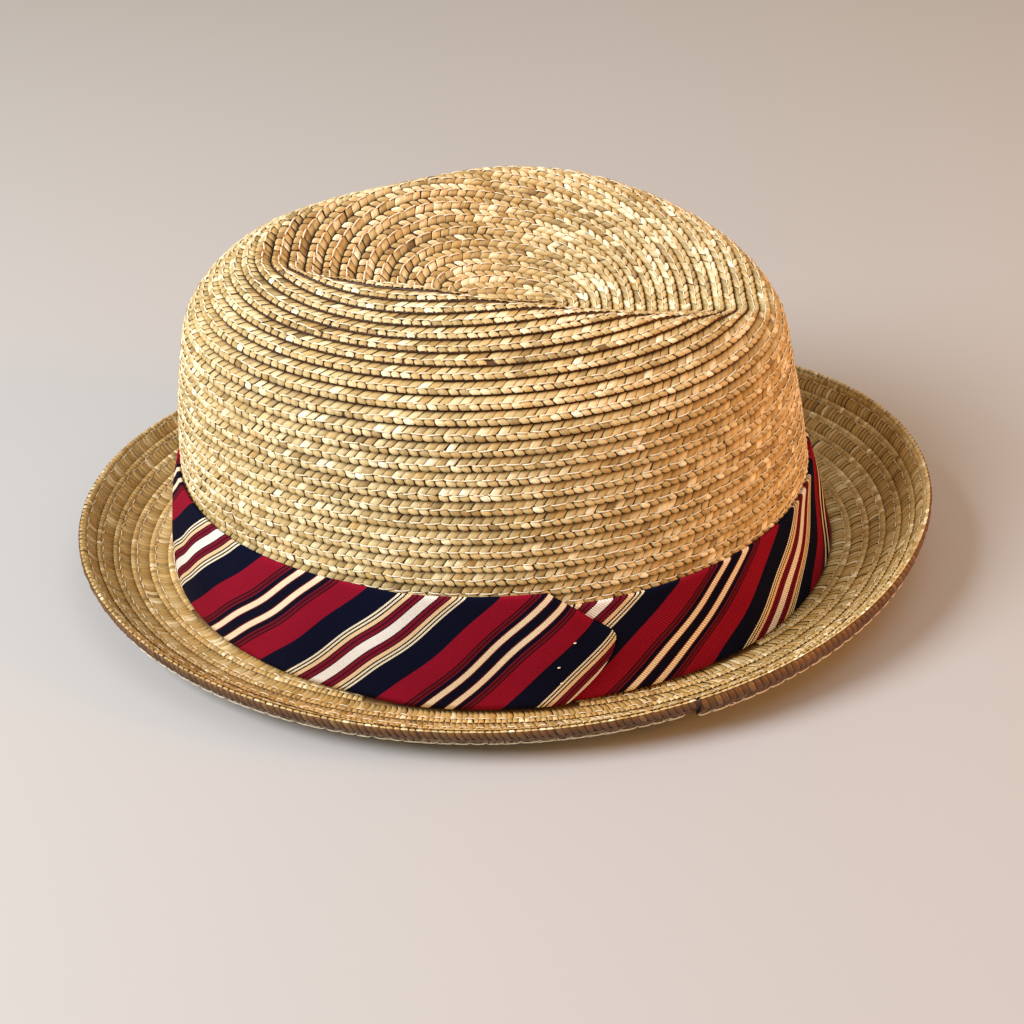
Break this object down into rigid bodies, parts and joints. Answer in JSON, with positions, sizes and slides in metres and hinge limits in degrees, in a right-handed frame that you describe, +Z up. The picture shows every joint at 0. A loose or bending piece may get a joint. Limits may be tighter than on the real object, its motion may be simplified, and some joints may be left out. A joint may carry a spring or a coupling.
{
  "type": "straw fedora",
  "caption": "Sewn straw-braid fedora with a dented teardrop crown, a short curled-up brim and a striped cloth band lapped on the wearer's left.",
  "frame": {"origin": "on the surface the hat stands on, below the middle of its outline", "axes": "+Z up through the crown, +Y towards the back of the hat, +X towards the wearer's left"},
  "size_m": [0.2238, 0.2724, 0.1086],
  "materials": {
    "straw": "natural wheat-straw braid, satin",
    "band_cloth": "ribbed striped cloth, matte"
  },
  "bodies": {
    "root": {"crown": "straw", "brim": "straw", "rim_braid": "straw", "band": "band_cloth"}
  },
  "joints": []
}
